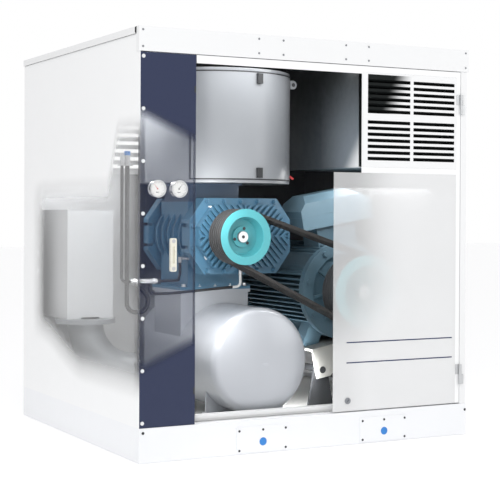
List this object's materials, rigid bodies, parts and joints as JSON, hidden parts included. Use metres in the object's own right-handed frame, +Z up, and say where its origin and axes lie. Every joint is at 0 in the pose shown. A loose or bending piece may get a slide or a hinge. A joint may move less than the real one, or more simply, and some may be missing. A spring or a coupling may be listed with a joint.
{
  "type": "packaged rotary-lobe blower",
  "caption": "Belt-driven three-lobe rotary blower with silencers and motor on a swinging base, in a boxed sound enclosure with a hinged front door and fork pockets.",
  "frame": {"origin": "middle of the base on the ground, under the middle of the overall box", "axes": "+Z up, +X to the right as seen from the door side, +Y from the door to the back, both shafts along Y"},
  "size_m": [1.638, 1.4606, 1.75],
  "materials": {
    "base_paint": "smooth powder coat",
    "zinc": "zinc plated",
    "panel_white": "smooth powder coat",
    "black_rubber": "matt",
    "foam": "matt open foam",
    "navy": "smooth powder coat",
    "grille_white": "smooth powder coat",
    "chrome_trim": "polished",
    "clear_glass": "clear",
    "needle_red": "matt",
    "needle_black": "matt",
    "level_cream": "gloss",
    "tank_paint": "semi-gloss enamel",
    "blue_cast": "semi-gloss enamel over casting",
    "steel": "machined",
    "rotor_iron": "machined",
    "blue_dark": "semi-gloss enamel",
    "drum_grey": "satin powder coat",
    "filter_paper": "pleated",
    "motor_blue": "semi-gloss enamel over casting",
    "copper_core": "laminated",
    "gauge_black": "gloss",
    "terminal_blue": "semi-gloss enamel",
    "pulley_teal": "satin enamel",
    "belt_rubber": "matt",
    "base_white": "smooth powder coat",
    "support_black": "smooth powder coat",
    "spring_steel": "oiled",
    "pipe_grey": "satin powder coat",
    "hose_black": "matt"
  },
  "bodies": {
    "skid": {"base_rails": "base_paint", "fork_pockets": "base_paint", "pocket_covers": "base_paint", "floor_pan": "zinc", "frame_tubes": "panel_white", "side_panels": "panel_white", "rear_panel": "panel_white", "roof": "panel_white", "fascia": "panel_white", "roof_plugs": "black_rubber", "acoustic_lining": "foam", "air_duct": "panel_white", "front_strip": "navy", "hinge_posts": "zinc", "gauge_cases": "chrome_trim", "gauge_glasses": "clear_glass", "oil_level_gauge": "level_cream", "discharge_silencer": "tank_paint", "tank_saddles": "tank_paint", "rubber_mounts": "black_rubber", "blower_casing": "blue_cast", "end_plates": "blue_cast", "rotor_bearings": "steel", "finned_cover": "blue_cast", "rear_cover": "blue_cast", "intake_neck": "blue_dark", "intake_drum": "drum_grey", "drum_cover": "drum_grey", "filter_element": "filter_paper", "drum_clamps": "zinc", "drive_belts": "belt_rubber", "motor_support": "support_black", "tension_rod": "steel", "tension_spring": "spring_steel", "discharge_pipe": "pipe_grey", "outlet_box": "pipe_grey", "oil_hoses": "hose_black", "hose_fittings": "zinc"},
    "swing": {"swing_base": "base_white", "motor_frame": "motor_blue", "motor_flange_shield": "motor_blue", "stator_core": "copper_core", "fan_cowl": "motor_blue", "terminal_box": "terminal_blue", "terminal_lid": "terminal_blue"},
    "motor_shaft": {"motor_rotor": "steel", "motor_fan": "gauge_black", "motor_pulley": "pulley_teal"},
    "drive_shaft": {"drive_rotor": "rotor_iron", "drive_gear": "steel", "blower_pulley": "pulley_teal"},
    "driven_shaft": {"driven_rotor": "rotor_iron", "driven_gear": "steel"},
    "door": {"door_panel": "panel_white", "door_grille": "grille_white", "door_seal": "black_rubber", "hinge_leaves": "zinc"},
    "lock": {"door_lock": "chrome_trim"},
    "vacuum_pointer": {"vacuum_needle": "needle_red"},
    "pressure_pointer": {"pressure_needle": "needle_black"}
  },
  "joints": [
    {"name": "motor_swing", "type": "hinge", "parent": "skid", "child": "swing", "pos_m": [0.222, -0.1, 0.292], "axis": [0, 1, 0], "range_deg": [-2, 2], "deforming": ["tension_spring", "drive_belts"]},
    {"name": "motor_spin", "type": "hinge", "parent": "swing", "child": "motor_shaft", "pos_m": [0.356, -0.1, 0.649], "axis": [0, 1, 0], "continuous": true},
    {"name": "drive_rotor_spin", "type": "hinge", "parent": "skid", "child": "drive_shaft", "pos_m": [-0.263, -0.1, 0.9015], "axis": [0, 1, 0], "continuous": true},
    {"name": "driven_rotor_spin", "type": "hinge", "parent": "skid", "child": "driven_shaft", "pos_m": [-0.093, -0.1, 0.9015], "axis": [0, 1, 0], "continuous": true},
    {"name": "door_swing", "type": "hinge", "parent": "skid", "child": "door", "pos_m": [0.7735, -0.7233, 0.9], "axis": [0, 0, 1], "range_deg": [0, 120]},
    {"name": "lock_turn", "type": "hinge", "parent": "door", "child": "lock", "pos_m": [0.175, -0.7, 0.19], "axis": [0, 1, 0], "range_deg": [0, 90]},
    {"name": "vacuum_pointer_turn", "type": "hinge", "parent": "skid", "child": "vacuum_pointer", "pos_m": [-0.728, -0.71, 1.1], "axis": [0, 1, 0], "range_deg": [-95, 175]},
    {"name": "pressure_pointer_turn", "type": "hinge", "parent": "skid", "child": "pressure_pointer", "pos_m": [-0.633, -0.71, 1.1], "axis": [0, 1, 0], "range_deg": [-170, 100]}
  ],
  "couplings": [
    {"joint": "drive_rotor_spin", "follows": "motor_spin", "ratio": 1.3958},
    {"joint": "driven_rotor_spin", "follows": "motor_spin", "ratio": -1.3958}
  ]
}
